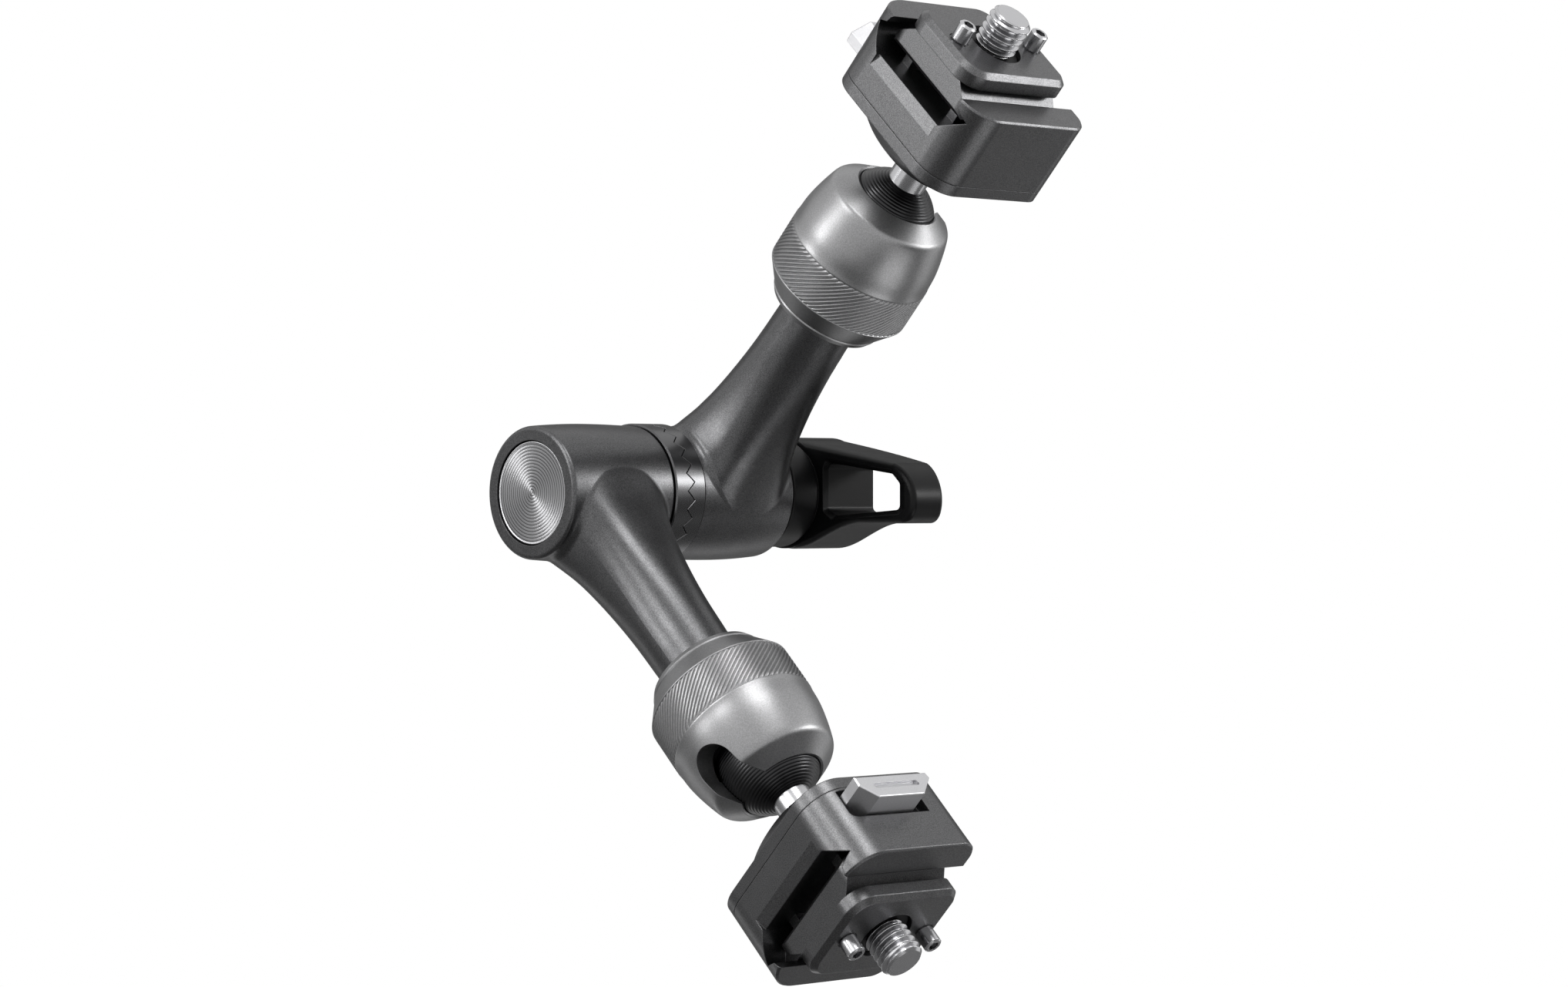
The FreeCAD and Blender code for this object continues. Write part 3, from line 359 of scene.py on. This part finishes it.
# The head and neck are turned from one profile, the thread is laid on it and a flat tip closes its end
def mountScrew(end):
    s = screw
    root = s["radius"] - s["depth"]
    bevel = s["headBevel"]
    shank = [(0, s["headBottom"]), (s["headRadius"] - bevel, s["headBottom"])]
    shank += [(s["headRadius"], s["headBottom"] + bevel), (s["headRadius"], s["headTop"])]
    shank += [(s["radius"], s["headTop"]), (s["radius"], s["neckEnd"])]
    shank += [(root, s["neckEnd"]), (root, s["threadStart"])]
    tipRadius = s["radius"] - s["chamfer"]
    tip = [(tipRadius, s["threadEnd"]), (s["tipFlat"] * tipRadius, s["threadEnd"]), (0, s["threadEnd"])]
    parts = [threadPoints(), profilePoints(shank), profilePoints(tip)]
    offsets = np.cumsum([0] + [len(points) for points, faces in parts[:-1]])
    vertices = np.vstack([points for points, faces in parts])
    faces = np.vstack([faces + offset for (points, faces), offset in zip(parts, offsets)])
    addPiece(end + "MountScrew", armToPart(end, vertices), faces, end + "_screw", "bright",
             [end + "_mount_screw"])


for end in ("lower", "upper"):
    mountScrew(end)
print("stage: mounting screws")


# Balls with the fine rings that the lathe leaves
turnedBall = {
    "radius": 11.3 * mm,
    "pitch": 0.74 * mm,
    "depth": 0.10 * mm,
    "stemRadius": 4.42 * mm,
    "boreRadius": 3.53 * mm,
    "perRing": 8,
    "columns": 145,
}


# The radius dips along the meridian: radius = ball radius - depth times (triangle wave squared)
def grooveBall(end):
    b = turnedBall
    start = math.asin(b["stemRadius"] / b["radius"])
    stop = math.pi - math.asin(b["boreRadius"] / b["radius"])
    rows = int((stop - start) * b["radius"] / b["pitch"] * b["perRing"])
    along = np.linspace(start, stop, rows)[:, None]
    wave = np.abs(((along * b["radius"] / b["pitch"]) % 1.0) - 0.5) * 2
    radius = b["radius"] - b["depth"] * wave ** 2
    sphere = turnedPoints(radius * np.sin(along), pose["ballCentre"] + radius * np.cos(along),
                          fullCircle(b["columns"]))
    faces = gridFaces(rows, b["columns"])
    addPiece(end + "TurnedBall", armToPart(end, sphere), faces, end + "_ball", "ball", [end + "_ball"],
             sharpAngle=60)


for end in ("lower", "upper"):
    grooveBall(end)
print("stage: balls")


# Toothed rings of the hub, with the slightly broken tooth edges that draw the zigzag line
toothedRing = {
    "radius": 15.8 * mm,
    "bore": 10.4 * mm,
    "halfWidth": 4.45 * mm,
    "teeth": 24,
    "toothHeight": 2.1 * mm,
    "gap": 0.16 * mm,
    "bevel": 0.3 * mm,
    "toothBevel": 0.13 * mm,
    "perTooth": 8,
}


# The toothed face is x = lean times radius times a triangle wave of the angle: all edges meet in the centre
def toothRing(end):
    t = toothedRing
    columns = t["teeth"] * t["perTooth"] + 1
    angle = fullCircle(columns)
    wave = 1 - 4 * np.abs((t["teeth"] * angle / (2 * math.pi) % 1.0) - 0.5)
    lean = t["toothHeight"] / 2 / t["radius"]
    r, b, c = t["radius"], t["bevel"], t["toothBevel"]
    radius = np.array([t["bore"], r - b, r, r, r - c, t["bore"], t["bore"]])[:, None]
    if end == "lower":
        back, face, inward = -t["halfWidth"], 0.0, -1
    else:
        back, face, inward = t["halfWidth"], t["gap"], 1
    edge = face + lean * radius * wave
    height = np.vstack([
        0 * angle + back,
        0 * angle + back,
        0 * angle + back - inward * b,
        edge[3:4] + inward * c,
        edge[4:6],
        0 * angle + back,
    ])
    points = turnedPoints(radius, height, angle)
    points = np.stack([points[:, 2], points[:, 0], points[:, 1]], axis=-1)
    turned = points @ turnAboutX(pose[end + "Angle"]).T + hubCentre
    faces = gridFaces(len(radius), columns)
    addPiece(end + "ToothedRing", turned, faces, end + "_arm", "rosette", [end + "_rosette"], sharpAngle=20)


for end in ("lower", "upper"):
    toothRing(end)
print("stage: toothed rings")


# Cap of the hub: a shallow dish faced with concentric rings inside a plain rim
cap = {
    "radius": 11.65 * mm,
    "face": -33.75 * mm,       # along the hub axis, measured from its middle
    "thickness": 1.3 * mm,
    "rim": 0.55 * mm,
    "edge": 0.2 * mm,
    "ringDepth": 0.015 * mm,
    "dish": 0.08 * mm,
    "lip": 0.1 * mm,
    "perRing": 8,
    "columns": 181,
}


# Out from the centre the face is: dish depth plus a triangle wave of the radius; then the rim and the side
def ringedCap():
    c = cap
    inner = c["radius"] - c["rim"]
    rings = np.linspace(0, inner, int(inner / ringPitch * c["perRing"]))
    wave = np.abs((rings / ringPitch % 1.0) - 0.5) * 2
    depth = c["dish"] + c["ringDepth"] * wave
    side = [inner + c["lip"], c["radius"] - c["edge"], c["radius"], c["radius"], 0]
    radius = np.concatenate([rings, side])
    drop = np.concatenate([depth, [0, 0, c["edge"], c["thickness"], c["thickness"]]])
    angle = fullCircle(c["columns"])
    points = turnedPoints(radius[:, None], drop[:, None], angle)
    points = np.stack([points[:, 2] + c["face"], points[:, 0], points[:, 1]], axis=-1) + hubCentre
    faces = gridFaces(len(radius), c["columns"])
    addPiece("ringedCap", points, faces, "lower_arm", "cap", ["hub_cap"], sharpAngle=75)


ringedCap()
print("stage: hub cap")


# Camera of the photograph, solved from the hub and the two end screws
view = {
    "lens": 90.87,
    "sensor": 36.0,
    "nearest": 10 * mm,
    "place": (-601.0 * mm, -676.6 * mm, -0.14 * mm),   # from the middle of the hub
    "direction": (0.690, 0.724, 0.0),
}
camera = bpy.data.cameras.new("camera")
camera.lens = view["lens"]
camera.sensor_width = view["sensor"]
camera.clip_start = view["nearest"]
cameraObject = bpy.data.objects.new("camera", camera)
bpy.context.scene.collection.objects.link(cameraObject)
forward = Vector(view["direction"])
cameraObject.location = Vector(hubCentre) + Vector(view["place"])
cameraObject.rotation_euler = forward.to_track_quat("-Z", "Y").to_euler()
bpy.context.scene.camera = cameraObject

middle = Vector((cadBox[0][k] + cadBox[1][k]) / 2 for k in range(3))
right = forward.cross(Vector((0, 0, 1))).normalized()

# Soft boxes, placed from the camera's side: metres right, up and towards the camera, then size and radiance
softBoxes = {
    "keyBox": (0.15, 0.85, 0.4, 0.4, 0.3, 9.0),
    "leftBox": (-0.95, 0.26, 0.26, 0.28, 0.28, 9.0),
    "frontBox": (-0.62, 0.6, 0.45, 0.3, 0.3, 9.0),
    "rightBox": (0.85, 0.24, 0.0, 0.4, 0.16, 12.0),
    "lowBox": (0.25, -0.36, 0.2, 0.35, 0.2, 2.0),
}
# Dark cards behind, below and beside the arm, which only reflections see: they give the metal its dark edges
cards = {
    "backCard": (0.0, 0.0, -0.7, 1.5, 1.1, 0.22),
    "lowCard": (0.0, -0.46, 0.1, 1.6, 1.2, 0.18),
    "sideCard": (0.75, -0.3, 0.25, 0.9, 0.5, 0.15),
    "leftCard": (-0.85, -0.2, -0.1, 0.7, 0.6, 0.3),
}


def addSoftBox(name, sideways, up, towards, width, height, radiance):
    lamp = bpy.data.lights.new(name, "AREA")
    lamp.shape = "RECTANGLE"
    lamp.size = width
    lamp.size_y = height
    lamp.energy = radiance * math.pi * width * height
    panel = bpy.data.objects.new(name, lamp)
    bpy.context.scene.collection.objects.link(panel)
    panel.location = middle + right * sideways + Vector((0, 0, 1)) * up - forward * towards
    panel.rotation_euler = (middle - panel.location).to_track_quat("-Z", "Y").to_euler()
    panel.visible_camera = False


cornerSigns = ((-1, -1), (1, -1), (1, 1), (-1, 1))


def addCard(name, sideways, up, towards, width, height, grey):
    place = middle + right * sideways + Vector((0, 0, 1)) * up - forward * towards
    turn = (middle - place).to_track_quat("-Z", "Y").to_matrix()
    corners = [(a * width / 2, b * height / 2, 0) for a, b in cornerSigns]
    mesh = bpy.data.meshes.new(name)
    mesh.from_pydata([place + turn @ Vector(corner) for corner in corners], [], [(0, 1, 2, 3)])
    paint = bpy.data.materials.new(name + "Felt")
    paint.use_nodes = True
    felt = paint.node_tree.nodes["Principled BSDF"]
    felt.inputs["Base Color"].default_value = (0, 0, 0, 1)
    felt.inputs["Specular IOR Level"].default_value = 0.0
    felt.inputs["Emission Color"].default_value = (1, 1, 1, 1)
    felt.inputs["Emission Strength"].default_value = grey
    mesh.materials.append(paint)
    card = bpy.data.objects.new(name, mesh)
    bpy.context.scene.collection.objects.link(card)
    card.visible_camera = False
    card.visible_shadow = False
    card.visible_diffuse = False


for name, values in softBoxes.items():
    addSoftBox(name, *values)
for name, values in cards.items():
    addCard(name, *values)


# White for rays that see it straight or by reflection, a dimmer fill for everything else
def backgroundShare(tree):
    path = addNode(tree, "ShaderNodeLightPath")
    first = addNode(tree, "ShaderNodeMath", operation="MAXIMUM")
    tree.links.new(path.outputs["Is Camera Ray"], first.inputs[0])
    tree.links.new(path.outputs["Is Glossy Ray"], first.inputs[1])
    second = addNode(tree, "ShaderNodeMath", operation="MAXIMUM")
    tree.links.new(first.outputs[0], second.inputs[0])
    tree.links.new(path.outputs["Is Transmission Ray"], second.inputs[1])
    return second.outputs[0]


studio = {"shown": 1.0, "fill": 0.45}
world = bpy.data.worlds.new("whiteStudio")
bpy.context.scene.world = world
world.use_nodes = True
worldTree = world.node_tree
worldTree.nodes.clear()
shown = addNode(worldTree, "ShaderNodeBackground", Color=(1, 1, 1, 1), Strength=studio["shown"])
fill = addNode(worldTree, "ShaderNodeBackground", Color=(1, 1, 1, 1), Strength=studio["fill"])
mix = addNode(worldTree, "ShaderNodeMixShader")
worldTree.links.new(backgroundShare(worldTree), mix.inputs[0])
worldTree.links.new(fill.outputs[0], mix.inputs[1])
worldTree.links.new(shown.outputs[0], mix.inputs[2])
worldOut = addNode(worldTree, "ShaderNodeOutputWorld")
worldTree.links.new(mix.outputs[0], worldOut.inputs["Surface"])

# Pale floor well below the arm, which its screw holds up; it glows white where it is seen and keeps a shadow
floor = {"drop": 0.62, "size": 6.0, "glow": 0.72}
floorPaint = bpy.data.materials.new("palePaint")
floorPaint.use_nodes = True
paintTree = floorPaint.node_tree
paint = paintTree.nodes["Principled BSDF"]
paint.inputs["Base Color"].default_value = linear("#e6e6e6")
paint.inputs["Roughness"].default_value = 0.9
paint.inputs["Specular IOR Level"].default_value = 0.0
glow = addNode(paintTree, "ShaderNodeMath", operation="MULTIPLY")
paintTree.links.new(backgroundShare(paintTree), glow.inputs[0])
glow.inputs[1].default_value = floor["glow"]
paint.inputs["Emission Color"].default_value = (1, 1, 1, 1)
paintTree.links.new(glow.outputs[0], paint.inputs["Emission Strength"])
half = floor["size"] / 2
level = middle.z - floor["drop"]
corners = [(middle.x + a * half, middle.y + b * half, level) for a, b in cornerSigns]
floorMesh = bpy.data.meshes.new("floor")
floorMesh.from_pydata(corners, [], [(0, 1, 2, 3)])
floorMesh.materials.append(floorPaint)
floorObject = bpy.data.objects.new("floor", floorMesh)
bpy.context.scene.collection.objects.link(floorObject)

bpy.context.scene.view_settings.view_transform = "Standard"
print("stage: camera, lights and floor")
